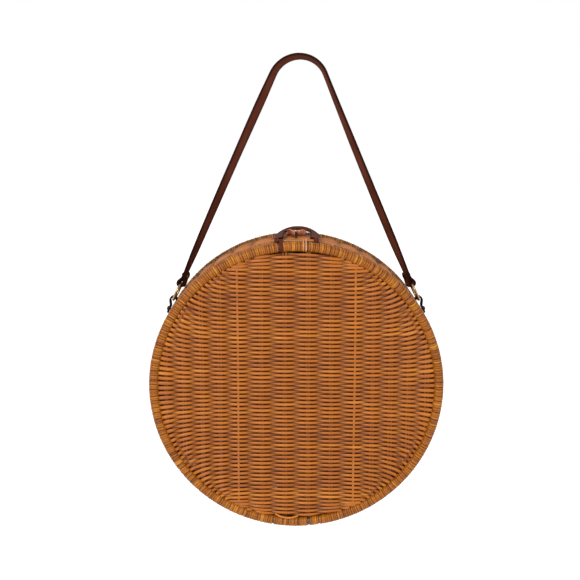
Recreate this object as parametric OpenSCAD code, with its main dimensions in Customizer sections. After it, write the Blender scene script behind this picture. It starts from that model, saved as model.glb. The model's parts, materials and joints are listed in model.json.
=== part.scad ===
/* [Bag body] */
// Outer diameter over the wrapped hoops
bag_d = 360; // [330:1:380]
// Depth from the front of the lid's hoop to the rear of the back hoop
bag_depth = 102; // [92:1:120]
// Gap between the lid's hoop and the rim hoop behind it
lid_gap = 2; // [1.8:0.1:4]

/* [Hoops] */
// Thickness of the bare rattan rod in each hoop
rod_d = 9.6; // [9:0.1:10]
// Thickness of the flat cane that is wound round each rod
cane_t = 1.2; // [1:0.1:1.4]

/* [Weave] */
// Thickness of the round cane that is woven
weaver_d = 2.5; // [2.2:0.1:2.8]
// Thickness of a stake
stake_d = 2.6; // [2.2:0.1:2.8]
// Distance between stake pairs in the middle of a panel
stake_pitch = 28.4; // [26:0.1:30]
// Distance between stake pairs towards the sides of a panel
side_pitch = 22; // [20:0.1:24]
// Number of stakes round the side wall
wall_stakes = 40; // [36:4:44]

/* [Lid hinge] */
// Distance of each hinge lashing from the bag's middle
hinge_x = 22.5; // [22:0.1:24]
// Width of a hinge lashing
hinge_w = 9.5; // [8:0.1:10]
// Thickness of the cane that a hinge lashing is wound from
hinge_t = 1.2; // [1:0.1:1.4]
// Least play of a hinge lashing on the rim hoop's rod
hinge_play = 0.25; // [0.2:0.05:0.4]

/* [Strap] */
// Height from the bag's centre to the underside of the strap's crown
crown_rise = 394.5; // [380:0.5:420]
// Width of the strap
strap_w = 12.5; // [11.5:0.1:13.5]
// Width of the strap's folded ends
strap_end_w = 11; // [10:0.1:11.5]
// Thickness of the strap leather
strap_t = 2.8; // [2.4:0.1:3]
// Radius of the bend at the strap's crown
crown_r = 34; // [30:1:40]
// Sideways lean of the crown from the bag's middle
crown_lean = 4; // [0:0.5:6]
// Length of the strap end that is folded back
fold_back = 17; // [16:0.5:20]
// Turn of the strap at its left ring, front outwards, in degrees
left_turn = 20; // [14:1:24]
// Turn of the strap at its right ring, front outwards, in degrees
right_turn = 27; // [24:1:28]

/* [Rings] */
// Thickness of the ring wire
wire_d = 3; // [2.6:0.1:3.2]
// Inner diameter of a ring
ring_bore_d = 20; // [19:0.5:21]
// Slack of the leather folds round the ring wire
ring_slack = 0.95; // [0.9:0.05:1]
// Tilt of a ring from the vertical, in degrees
ring_tilt = 26; // [22:1:28]
// Turn of a ring about its own height, front outwards, in degrees
ring_turn = 4; // [3:0.5:5]
// Height of the lower fold on the side wall, in degrees above the bag's centre
ring_angle = 33.4; // [32:0.1:35]

/* [Side tabs] */
// Thickness of the tab leather
tab_t = 2.2; // [1.8:0.1:2.4]
// Width of a tab
tab_w = 12; // [11:0.5:14]
// Width of a tab's fold in the ring
tab_fold_w = 9; // [8:0.5:10]
// Height of a tab's lower end, in degrees above the bag's centre
tab_low = 27.6; // [27:0.1:28]
// Height of a tab's rivet, in degrees above the bag's centre
rivet_angle = 29.5; // [29.3:0.1:29.7]
// Diameter of a rivet's domed head
rivet_d = 7; // [6:0.1:7.5]
// Diameter of a rivet's shank
shank_d = 2.8; // [2.4:0.1:3]

/* [Closure] */
// Width over the closure loop
loop_w = 52.4; // [50:0.5:56]
// Width of the loop's legs
loop_leg = 10; // [9.5:0.5:11]
// Width of the strip that the loop's legs meet in
loop_cross = 8; // [7:0.5:10]
// Thickness of the loop leather
loop_t = 2.2; // [1.8:0.1:2.4]
// Thickness of the lace that the loop turns on
lace_d = 2.2; // [2:0.1:2.4]
// Length of the toggle
toggle_len = 26; // [22:0.5:28]
// Thickness of the toggle
toggle_d = 6.4; // [6:0.1:6.8]
// Row of the side wall that the toggle is tied over, counted from the front
toggle_row_count = 19; // [17:1:20]
// Thickness of the cord that ties the toggle down
cord_d = 1.4; // [1.2:0.1:1.5]

/* [Hidden] */
$fn = 96;

// Clearances that several pieces share
seat_gap = 0.05;
fit_gap = 0.3;
run_gap = 0.4;
overrun = 1;

// Hoops: rod, wrapping and their places from front to back
rod_r = rod_d / 2;
hoop_r = rod_r + seat_gap + cane_t;
ring_line = bag_d / 2 - hoop_r;
lid_y = -bag_depth / 2 + hoop_r;
rim_y = lid_y + 2 * hoop_r + lid_gap;
back_y = bag_depth / 2 - hoop_r;

// Weave: a core of the strands that pass behind, with the strands that pass in front on both faces
channel_d = stake_d + 2 * seat_gap;
core_t = channel_d + 2 * seat_gap + weaver_d / 4;
weave_rise = (stake_d + weaver_d) / 2;
weave_half = weave_rise + weaver_d / 2;
row_pitch = weaver_d + seat_gap;
panel_r = ring_line - hoop_r - 2 * fit_gap;
pair_gap = stake_d + fit_gap;
panel_sides = 60;

// Stake pairs on each side of a panel's middle, with a single stake at the last of the near places
near_pairs = 3;
far_pairs = floor((panel_r - (near_pairs - 0.5) * stake_pitch) / side_pitch);
function pair_x(k) = k < near_pairs ? (k + 0.5) * stake_pitch
    : (near_pairs - 0.5) * stake_pitch + (k - near_pairs + 1) * side_pitch;
stake_places = [for (k = [0:near_pairs + far_pairs - 1], side = [-1, 1],
    off = k == near_pairs - 1 ? [0] : [-pair_gap / 2, pair_gap / 2]) side * pair_x(k) + off];

// Hinge lashings: sleeves on the lid's rod and loose eyes on the rim's rod
hinge_turn = asin(hinge_x / ring_line);
hinge_end_turn = asin((hinge_x + hinge_w / 2) / ring_line);
hinge_z = -ring_line * cos(hinge_turn);
hinge_drop = ring_line * (cos(hinge_turn) - cos(hinge_end_turn));
hinge_bore_r = rod_r / cos(hinge_end_turn) + hinge_drop + hinge_play;
hinge_eye_r = hinge_bore_r + hinge_t;

// Side wall, from behind the hinge eyes to the back hoop
wall_front = rim_y + hinge_eye_r + run_gap;
wall_back = back_y - hoop_r - fit_gap;
wall_out = ring_line + weave_half;
wall_rows = floor((wall_back - wall_front) / row_pitch);
wall_length = wall_rows * row_pitch;
wall_start = (wall_front + wall_back - wall_length) / 2;
wall_step = 360 / wall_stakes;
ridge_shares = [[0.02, 0], [0.25, 1], [0.75, 1], [0.98, 0]];

// Rings: the lower fold on the wall, the upper fold in the strap
channel_r = wire_d / 2 + ring_slack;
ring_r = (ring_bore_d + wire_d) / 2;
tab_fold_r = channel_r + tab_t;
tab_fold_at = wall_out + fit_gap + tab_fold_r;
ring_up = [-sin(ring_tilt), cos(ring_tilt)];
tab_fold_place = tab_fold_at * [cos(ring_angle), sin(ring_angle)];
ring_centre = tab_fold_place + ring_r * ring_up;
strap_fold_place = ring_centre + ring_r * ring_up;

// Strap path: a bend at the crown and a straight leg down to each fold
strap_fold_r = channel_r + strap_t;
fold_extra = 0.2;
crown_twist = 30;
crown_line = crown_rise + strap_t / 2 / cos(crown_twist);
rivet_up = 1.6 * rivet_d;
fold_knee = rivet_up - rivet_d / 2 - fit_gap;
bend_z = crown_line - crown_r;
fold_from_bend = strap_fold_place - [0, bend_z];
bend_turn = acos(-crown_r / norm(fold_from_bend))
    - atan2(fold_from_bend[0], -fold_from_bend[1]);
leg_out = [sin(bend_turn), cos(bend_turn)];
leg_start = [0, bend_z] + crown_r * leg_out;
leg_down = [cos(bend_turn), -sin(bend_turn)];
leg_end = strap_fold_place - (fold_back - overrun) * leg_down;
leg_length = norm(leg_end - leg_start);

// Side tab: two layers on the wall, riveted through it
tab_in = wall_out + fit_gap;
tab_out = tab_in + 2 * tab_t;
tab_plate_top = ring_angle - asin(tab_fold_r / 2 / tab_fold_at);
rivet_rise = rivet_d / 3;
washer_t = 0.8;
wall_in = ring_line - weave_half;

// Closure loop, its lace and the toggle on top of the wall
lace_r = lace_d / 2;
eye_r = lace_r + seat_gap + fit_gap / 2;
hem_r = eye_r + loop_t;
lace_y = (lid_y + rim_y) / 2;
hem_w = loop_leg / 2 + fit_gap;
hem_x = loop_w / 2 - hem_w;
hoop_top = sqrt(pow(ring_line, 2) - pow(hem_x, 2));
lace_z = hoop_top + sqrt(pow(hoop_r + hem_r + run_gap, 2) - pow((rim_y - lid_y) / 2, 2));
toggle_y = wall_start + (toggle_row_count - 0.5) * row_pitch;
toggle_z = wall_out + fit_gap + toggle_d / 2;
toggle_top = toggle_z + toggle_d / 2;
window_end = toggle_y + toggle_d / 2 + fit_gap - lace_y;
loop_slope = atan((toggle_top + run_gap - lace_z - eye_r) / window_end);
loop_len = window_end + loop_cross;
tie_w = 5;
tie_left_x = hem_x - fit_gap - tie_w / 2;
tie_right_x = 10;
tie_t = 1.1;

leather = [0.24, 0.11, 0.08];
cane = [0.74, 0.45, 0.2];
wrap_cane = [0.8, 0.5, 0.22];
pale_cane = [0.86, 0.64, 0.4];
brass = [0.83, 0.7, 0.42];

// Everything is drawn about the bag's centre and hung from the strap's crown
module hung() {
    translate([0, 0, -crown_rise]) children();
}

module both_sides() {
    children();
    mirror([1, 0, 0]) children();
}

module side_of(side) {
    if (side < 0) mirror([1, 0, 0]) children();
    else children();
}

// A place on a circle about the bag's Y axis, with local X pointing outwards
module at_angle(turn, radius) {
    rotate([0, -turn, 0]) translate([radius, 0, 0]) children();
}

module along_x(length) {
    rotate([90, 0, 90]) linear_extrude(height = length, center = true) children();
}

module hoop_ring(y, radius) {
    translate([0, y, 0]) rotate([90, 0, 0]) rotate_extrude()
        translate([ring_line, 0]) circle(r = radius);
}

module hoop_rod(y) {
    hoop_ring(y, rod_r);
}

// A short length of a thick ring along a hoop, about an angle from +X
module hoop_sleeve(y, turn, width, radius) {
    arc = width / ring_line * 180 / PI;
    translate([0, y, 0]) rotate([90, 0, 0]) rotate([0, 0, turn - arc / 2])
        rotate_extrude(angle = arc) translate([ring_line, 0]) circle(r = radius);
}

// A hoop's wrapping, left out where lashings sit on the bare rod
module wrapping(y, bare) {
    starts = [for (i = [0:len(bare) - 1]) bare[i][0] + bare[i][1] / 2];
    ends = [for (i = [0:len(bare) - 1])
        i < len(bare) - 1 ? bare[i + 1][0] - bare[i + 1][1] / 2 : bare[0][0] + 360 - bare[0][1] / 2];
    for (i = [0:len(bare) - 1])
        translate([0, y, 0]) rotate([90, 0, 0]) rotate([0, 0, starts[i]])
            rotate_extrude(angle = ends[i] - starts[i]) translate([ring_line, 0]) difference() {
                circle(r = hoop_r);
                circle(r = rod_r + seat_gap);
            }
}

// One bare stretch of rod: its angle from +X and its width in degrees
function bare_at(x, low, width) =
    [(low ? 270 : 90) + (low ? 1 : -1) * asin(x / ring_line), width / ring_line * 180 / PI];

hinge_bare_w = hinge_w + 4 * fit_gap + 2 * hoop_r * sin(hinge_end_turn);
tie_bare_w = tie_w + 2 * fit_gap + 2 * hoop_r * tie_left_x / ring_line;
rim_bare = [bare_at(-hinge_x, true, hinge_bare_w), bare_at(hinge_x, true, hinge_bare_w)];
lid_bare = [bare_at(tie_right_x, false, tie_bare_w), bare_at(-tie_left_x, false, tie_bare_w),
    rim_bare[0], rim_bare[1]];

module panel_outline() {
    polygon([for (i = [0:panel_sides - 1])
        panel_r * [cos((i + 0.5) * 360 / panel_sides), sin((i + 0.5) * 360 / panel_sides)]]);
}

// Woven disc: rows of round cane on both faces of a core with channels for the stakes
module woven_panel(y) {
    rows = floor(panel_r / row_pitch);
    translate([0, y, 0]) difference() {
        intersection() {
            along_x(2 * panel_r) {
                square([core_t, 2 * panel_r], center = true);
                for (i = [-rows:rows], side = [-1, 1])
                    translate([side * weave_rise, i * row_pitch]) circle(r = weaver_d / 2);
            }
            rotate([90, 0, 0]) linear_extrude(height = 4 * weave_half, center = true) panel_outline();
        }
        for (x = stake_places)
            translate([x, 0, 0])
                cylinder(r = channel_d / 2, h = 2 * panel_r + overrun, center = true);
    }
}

module panel_stakes(y) {
    reach = ring_line - hoop_r - fit_gap;
    for (x = stake_places) {
        edge = abs(x) + stake_d / 2;
        translate([x, y, 0])
            cylinder(r = stake_d / 2, h = 2 * sqrt(pow(reach, 2) - pow(edge, 2)), center = true);
    }
}

module leather_rivet(head_at, tail_at) {
    rotate([0, 90, 0]) {
        translate([0, 0, tail_at]) cylinder(r = shank_d / 2, h = head_at - tail_at + rivet_rise / 2);
        translate([0, 0, tail_at - washer_t]) cylinder(r = rivet_d / 2, h = washer_t);
        translate([0, 0, head_at]) rivet_dome();
    }
}

module rivet_dome() {
    dome_r = (pow(rivet_d / 2, 2) + pow(rivet_rise, 2)) / 2 / rivet_rise;
    rotate_extrude() intersection() {
        translate([0, rivet_rise - dome_r]) circle(r = dome_r);
        square([rivet_d, rivet_rise]);
    }
}

module ring_torus(radius) {
    translate([ring_centre[0], 0, ring_centre[1]]) rotate([0, 90 - ring_tilt, 0]) rotate([-ring_turn, 0, 0])
        rotate_extrude() translate([ring_r, 0]) circle(r = radius);
}

// Strap: place, heading and twist at each share of its length, from one fold to the other
twist_shares = [[0, left_turn / crown_twist], [0.1, 1.05], [0.18, 1.15], [0.32, 1.5], [0.41, 1.4], [0.5, 1],
    [0.63, 0.6], [0.72, 0.65], [0.85, 1.15], [1, right_turn / crown_twist]];
crown_arc = crown_r * bend_turn * PI / 180;
path_len = 2 * (leg_length + crown_arc);
function smooth(t) = t * t * (3 - 2 * t);
function twist_at(share) = let (
        i = max([for (k = [0:len(twist_shares) - 2]) twist_shares[k][0] <= share ? k : 0]),
        a = twist_shares[i],
        b = twist_shares[i + 1])
    crown_twist * (a[1] + (b[1] - a[1]) * smooth((share - a[0]) / (b[0] - a[0])));
function half_place(s) = s < crown_arc
    ? let (turn = s / crown_r * 180 / PI) [crown_r * sin(turn), bend_z + crown_r * cos(turn), turn]
    : let (run = s - crown_arc)
        [leg_start[0] + run * leg_down[0], leg_start[1] + run * leg_down[1], bend_turn];
function lean_at(z) = crown_lean * pow(max(z - leg_end[1], 0) / (crown_line - leg_end[1]), 2);
function strap_ring(share) = let (
        s = (share - 0.5) * path_len,
        side = s < 0 ? -1 : 1,
        p = half_place(abs(s)),
        centre = [side * p[0] + lean_at(p[1]), 0, p[1]],
        out = [side * sin(p[2]), 0, cos(p[2])],
        twist = twist_at(share),
        thick = out * cos(twist) + [0, 1, 0] * sin(twist),
        wide = [0, 1, 0] * cos(twist) - out * sin(twist),
        narrow = 1 - (1 - strap_end_w / strap_w) * pow(abs(2 * share - 1), 12))
    [for (c = section_shares) centre + c[0] * strap_t * thick + c[1] * strap_w * narrow * wide];
section_shares = [[0.5, -0.42], [0.5, 0.42], [0.28, 0.5], [-0.28, 0.5], [-0.5, 0.42],
    [-0.5, -0.42], [-0.28, -0.5], [0.28, -0.5]];
strap_rings = 72;

module strap_band() {
    n = len(section_shares);
    rings = [for (i = [0:strap_rings - 1]) strap_ring(ring_share(i))];
    points = [for (r = rings, p = r) p];
    faces = concat(
        [[for (j = [n - 1:-1:0]) j]],
        [[for (j = [0:n - 1]) (strap_rings - 1) * n + j]],
        [for (i = [0:strap_rings - 2], j = [0:n - 1])
            [i * n + j, (i + 1) * n + (j + 1) % n, (i + 1) * n + j]],
        [for (i = [0:strap_rings - 2], j = [0:n - 1])
            [i * n + j, i * n + (j + 1) % n, (i + 1) * n + (j + 1) % n]]);
    polyhedron(points, faces);
}

// Rings lie closer together round the crown than along the legs
function ring_share(i) = let (t = 2 * i / (strap_rings - 1) - 1)
    0.5 + 0.5 * (0.35 * t + 0.65 * pow(t, 3));

// Local X points out of the strap's loop and local Z up the leg, turned as far as the strap is there
module strap_end_frame(side) {
    side_of(side) translate([strap_fold_place[0], 0, strap_fold_place[1]]) rotate([0, bend_turn - 90, 0])
        rotate([0, 0, side < 0 ? left_turn : right_turn]) children();
}

// A strap end folded round the ring wire and back up inside itself
module strap_fold(side) {
    outer = strap_t / 2 + fold_extra;
    inner = -3 * strap_t / 2 - fold_extra;
    strap_end_frame(side) rotate([90, 0, 0])
        linear_extrude(height = strap_end_w + fold_extra, center = true) {
            circle(r = strap_fold_r);
            polygon([[strap_fold_r * cos(20), strap_fold_r * sin(20)], [outer, fold_knee], [outer, fold_back],
                [inner, fold_back], [inner, fold_knee], [-strap_fold_r * cos(10), strap_fold_r * sin(10)],
                [0, -strap_fold_r / 2]]);
        }
}

module strap() {
    color(leather) hung() {
        strap_band();
        for (side = [-1, 1]) difference() {
            strap_fold(side);
            side_of(side) ring_torus(channel_r);
            strap_end_frame(side) translate([0, 0, rivet_up]) rotate([0, 90, 0])
                cylinder(r = shank_d / 2 + seat_gap, h = 6 * strap_t, center = true);
        }
    }
}

module strap_rivet(side) {
    color(brass) hung() strap_end_frame(side) translate([0, 0, rivet_up])
        leather_rivet(strap_t / 2 + fold_extra + seat_gap, -3 * strap_t / 2 - fold_extra - seat_gap);
}

module strap_rivet_left() { strap_rivet(-1); }
module strap_rivet_right() { strap_rivet(1); }

module carrier_ring(side) {
    color(brass) hung() side_of(side) ring_torus(wire_d / 2);
}

module ring_left() { carrier_ring(-1); }
module ring_right() { carrier_ring(1); }

module rim_hoop() { color(cane) hung() hoop_rod(rim_y); }
module back_hoop() { color(cane) hung() hoop_rod(back_y); }
module rim_wrap() { color(wrap_cane) hung() wrapping(rim_y, rim_bare); }

module back_wrap() {
    color(wrap_cane) hung() translate([0, back_y, 0]) rotate([90, 0, 0]) rotate_extrude()
        translate([ring_line, 0]) difference() {
            circle(r = hoop_r);
            circle(r = rod_r + seat_gap);
        }
}

module wall_stakes_round() {
    front = rim_y + hoop_r + fit_gap;
    length = wall_back - front;
    color(pale_cane) hung() for (i = [0:wall_stakes - 1])
        at_angle(-90 + (i + 0.5) * wall_step, ring_line) rotate([90, 0, 0])
            translate([0, 0, -front - length]) cylinder(r = stake_d / 2, h = length);
}

// One outline with a ridge for each row on both faces, because whole rings of round cane are too many facets
module wall_section() {
    outline = [for (i = [0:wall_rows - 1], p = ridge_shares)
        [core_t / 2 + p[1] * (weave_half - core_t / 2), -wall_start - (i + p[0]) * row_pitch]];
    count = len(outline);
    polygon(concat(
        [for (p = outline) [ring_line + p[0], p[1]]],
        [for (k = [count - 1:-1:0]) [ring_line - outline[k][0], outline[k][1]]]));
}

module wall_weave() {
    color(cane) hung() difference() {
        rotate([90, 0, 0]) rotate_extrude() wall_section();
        for (i = [0:wall_stakes - 1])
            at_angle(-90 + (i + 0.5) * wall_step, ring_line) rotate([90, 0, 0])
                cylinder(r = channel_d / 2, h = 2 * bag_depth, center = true);
        both_sides() at_angle(rivet_angle, ring_line) rotate([0, 90, 0])
            cylinder(r = shank_d / 2 + 1.5 * fit_gap, h = 4 * weave_half, center = true);
        for (side = [-1, 1])
            translate([0, toggle_y + side * cord_r, ring_line])
                cylinder(r = cord_d / 2 + seat_gap, h = 4 * weave_half, center = true);
    }
}

module back_stakes() { color(pale_cane) hung() panel_stakes(back_y); }
module back_weave() { color(cane) hung() woven_panel(back_y); }
module lid_hoop() { color(cane) hung() hoop_rod(lid_y); }
module lid_wrap() { color(wrap_cane) hung() wrapping(lid_y, lid_bare); }
module lid_stakes() { color(pale_cane) hung() panel_stakes(lid_y); }
module lid_weave() { color(cane) hung() woven_panel(lid_y); }

// A tab's two layers follow the wall and close round the ring wire
module side_tab() {
    middle = (tab_low + tab_plate_top) / 2;
    length = (tab_plate_top - tab_low) * PI / 180 * tab_out;
    difference() {
        union() {
            intersection() {
                rotate([90, 0, 0]) rotate_extrude()
                    translate([tab_in, -tab_w]) square([2 * tab_t, 2 * tab_w]);
                at_angle(middle, ring_line) rotate([90, 0, 90]) linear_extrude(height = 2 * hoop_r)
                    tab_outline(length);
            }
            translate([tab_fold_place[0], 0, tab_fold_place[1]]) rotate([90, 0, 0])
                cylinder(r = tab_fold_r, h = tab_fold_w, center = true);
        }
        ring_torus(channel_r);
        at_angle(rivet_angle, ring_line) rotate([0, 90, 0])
            cylinder(r = shank_d / 2 + seat_gap, h = 4 * hoop_r, center = true);
    }
}

// Round lower end, and an upper end that narrows to the fold
module tab_outline(length) {
    end_r = tab_w / 2;
    low = end_r - length / 2;
    neck = tab_fold_w / 2 - fit_gap;
    polygon(concat(
        [for (turn = [180:15:360]) [end_r * cos(turn), low + end_r * sin(turn)]],
        [[end_r, length / 6], [neck, length / 2], [-neck, length / 2], [-end_r, length / 6]]));
}

module tab_left() { color(leather) hung() side_of(-1) side_tab(); }
module tab_right() { color(leather) hung() side_tab(); }

module tab_rivet(side) {
    color(brass) hung() side_of(side) at_angle(rivet_angle, 0)
        leather_rivet(tab_out + seat_gap, wall_in - fit_gap);
}

module tab_rivet_left() { tab_rivet(-1); }
module tab_rivet_right() { tab_rivet(1); }

// Toggle with a waist in which its cord lies flush
waist_r = toggle_d / 2 - cord_d - seat_gap;
waist_w = 2 * cord_d;
cord_r = waist_r + seat_gap + cord_d / 2;

module toggle() {
    end_r = toggle_d / 6;
    color(pale_cane) hung() translate([0, toggle_y, toggle_z]) rotate([0, 90, 0])
        difference() {
            intersection() {
                cylinder(r = toggle_d / 2, h = toggle_len, center = true);
                sphere(r = norm([toggle_len / 2, toggle_d / 2 - end_r]));
            }
            rotate_extrude() translate([waist_r, -waist_w / 2]) square([toggle_d, waist_w]);
        }
}

module toggle_cord() {
    inside = wall_in - fit_gap - cord_d / 2;
    color(leather) hung() translate([0, toggle_y, 0]) {
        translate([0, 0, toggle_z]) cord_bow();
        for (side = [-1, 1])
            translate([0, side * cord_r, inside]) cylinder(r = cord_d / 2, h = toggle_z - inside);
        translate([0, 0, inside]) mirror([0, 0, 1]) cord_bow();
    }
}

module cord_bow() {
    rotate([90, 0, 90]) rotate_extrude(angle = 180) translate([cord_r, 0]) circle(r = cord_d / 2);
}

// A lashing holds a hoop's rod and has an eye beside it, on the X axis through eye_place
module lashing(x, y, low, width, sleeve_r, eye_place, eye_outer, eye_bore) {
    z = (low ? -1 : 1) * sqrt(pow(ring_line, 2) - pow(x, 2));
    turn = bare_at(x, low, width)[0];
    difference() {
        union() {
            hoop_sleeve(y, turn, width, sleeve_r);
            translate([x, eye_place[0], eye_place[1]]) rotate([0, 90, 0])
                cylinder(r = eye_outer, h = width, center = true);
            lashing_waist(x, [y, z], eye_place, width, min(sleeve_r, eye_outer));
        }
        hoop_ring(y, rod_r + seat_gap);
        translate([x, eye_place[0], eye_place[1]]) rotate([0, 90, 0])
            cylinder(r = eye_bore, h = width + overrun, center = true);
    }
}

module lashing_waist(x, from, to, width, height) {
    span = to - from;
    translate([x, from[0], from[1]]) rotate([atan2(span[1], span[0]), 0, 0])
        translate([-width / 2, 0, -height / 2]) cube([width, norm(span), height]);
}

module hinge_lashing(side) {
    color(wrap_cane) hung() lashing(side * hinge_x, lid_y, true, hinge_w,
        rod_r + seat_gap + hinge_t, [rim_y, hinge_z], hinge_eye_r, hinge_bore_r);
}

module hinge_lashing_left() { hinge_lashing(-1); }
module hinge_lashing_right() { hinge_lashing(1); }

module loop_lace() {
    color(leather) hung() translate([0, lace_y, lace_z]) rotate([0, 90, 0])
        cylinder(r = lace_r, h = loop_w + lace_d, center = true);
}

module lace_tie(x) {
    lashing(x, lid_y, false, tie_w, rod_r + seat_gap + tie_t + fit_gap, [lace_y, lace_z],
        lace_r + seat_gap + tie_t, lace_r + seat_gap);
}

module lace_tie_left() { color(leather) hung() lace_tie(-tie_left_x); }
module lace_tie_right() { color(pale_cane) hung() lace_tie(tie_right_x); }

// Die-cut leather loop with a hem at each foot that turns on the lace
module loop_outline() {
    window_w = loop_w - 2 * loop_leg;
    corner_out = loop_w * 0.46;
    corner_in = window_w * 0.42;
    notch = lace_r + tie_t + seat_gap + 2 * fit_gap + hem_r / 2;
    difference() {
        rounded_end(loop_w, loop_len, corner_out);
        translate([0, -overrun]) rounded_end(window_w, window_end + overrun, corner_in);
        translate([-hem_x, -overrun]) square([2 * hem_x, notch + overrun]);
    }
}

module rounded_end(width, length, corner) {
    translate([-width / 2, 0]) square([width, length - corner]);
    translate([-width / 2 + corner, 0]) square([width - 2 * corner, length]);
    for (side = [-1, 1])
        translate([side * (width / 2 - corner), length - corner]) circle(r = corner);
}

module closure_loop() {
    color(leather) hung() translate([0, lace_y, lace_z]) rotate([loop_slope, 0, 0])
        difference() {
            union() {
                translate([0, 0, eye_r]) linear_extrude(height = loop_t) loop_outline();
                for (side = [-1, 1])
                    translate([side * (loop_w / 2 - hem_w / 2), 0, 0]) rotate([0, 90, 0])
                        cylinder(r = hem_r, h = hem_w, center = true);
            }
            rotate([0, 90, 0]) cylinder(r = eye_r, h = loop_w + overrun, center = true);
        }
}

strap();
strap_rivet_left();
strap_rivet_right();
ring_left();
ring_right();
rim_hoop();
rim_wrap();
back_hoop();
back_wrap();
wall_stakes_round();
wall_weave();
back_stakes();
back_weave();
tab_left();
tab_right();
tab_rivet_left();
tab_rivet_right();
toggle();
toggle_cord();
lid_hoop();
lid_wrap();
lid_stakes();
lid_weave();
hinge_lashing_left();
hinge_lashing_right();
loop_lace();
lace_tie_left();
lace_tie_right();
closure_loop();
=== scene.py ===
"""Dresses the round wicker bag: woven panels and wall, wound hoops, leather, brass and the studio."""

import json
import math
import random

import bpy
import numpy as np
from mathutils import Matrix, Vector


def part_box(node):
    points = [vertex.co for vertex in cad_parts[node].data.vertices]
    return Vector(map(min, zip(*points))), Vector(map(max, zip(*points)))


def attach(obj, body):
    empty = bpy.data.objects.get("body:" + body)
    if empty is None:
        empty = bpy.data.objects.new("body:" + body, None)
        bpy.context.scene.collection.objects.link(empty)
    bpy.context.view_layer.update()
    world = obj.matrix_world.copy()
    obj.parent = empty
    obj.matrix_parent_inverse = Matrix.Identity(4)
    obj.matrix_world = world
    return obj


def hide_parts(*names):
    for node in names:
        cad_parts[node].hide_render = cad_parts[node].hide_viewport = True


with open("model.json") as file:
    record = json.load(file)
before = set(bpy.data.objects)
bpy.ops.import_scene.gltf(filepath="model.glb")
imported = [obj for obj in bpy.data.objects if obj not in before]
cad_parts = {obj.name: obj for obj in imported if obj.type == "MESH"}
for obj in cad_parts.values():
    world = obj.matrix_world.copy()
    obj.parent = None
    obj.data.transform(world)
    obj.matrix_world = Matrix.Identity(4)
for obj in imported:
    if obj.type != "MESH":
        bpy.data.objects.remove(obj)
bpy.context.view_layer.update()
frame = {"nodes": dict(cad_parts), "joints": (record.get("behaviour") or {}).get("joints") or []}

MM = 0.001
TAU = 2 * math.pi
X, Y, Z = np.eye(3)


# Sizes that the frame gives

def low(node):
    return np.array(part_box(node)[0])


def high(node):
    return np.array(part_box(node)[1])


def centre_of(node):
    return (high(node) + low(node)) / 2


def half_of(node):
    return (high(node) - low(node)) / 2


def joint_place(name):
    return np.array([j for j in frame["joints"] if j["name"] == name][0]["pos_m"])


# ring_line is the radius of the hoops' middle line, and bag_z the height of their centre
hoop_r = half_of("back_wrap")[1]
rod_r = half_of("lid_hoop")[1]
ring_line = half_of("back_wrap")[0] - hoop_r
bag_z = centre_of("back_wrap")[2]
lid_y = centre_of("lid_hoop")[1]
rim_y = centre_of("rim_hoop")[1]
back_y = centre_of("back_hoop")[1]
hinge = joint_place("lid_hinge")
lace = joint_place("loop_lift")
ring_place = joint_place("ring_right_swing")
CENTRE = np.array([0, 0, bag_z])

# Cane sizes and places, as the construction has them. Stake pairs lie NEAR_PITCH apart in a panel's
# middle and SIDE_PITCH apart towards its sides.
WEAVER_D, STAKE_D = 2.5 * MM, 2.6 * MM
ROW_PITCH = 2.61 * MM
NEAR_PAIRS, NEAR_PITCH = 3, 28.4 * MM
FAR_PAIRS, SIDE_PITCH = 4, 22 * MM
PAIR_GAP = 2.9 * MM
WALL_STAKES, WALL_ROWS = 40, 24
WEAVE_RISE = 2.1 * MM
WEAVE_HALF = (STAKE_D + 2 * WEAVER_D) / 2


def around_hoop(turn):
    """The way out from the bag's centre, from the bottom round to the right, for each angle."""
    return np.stack([np.sin(turn), np.zeros_like(turn), -np.cos(turn)], 1)


# Sweeping strands into meshes

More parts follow.
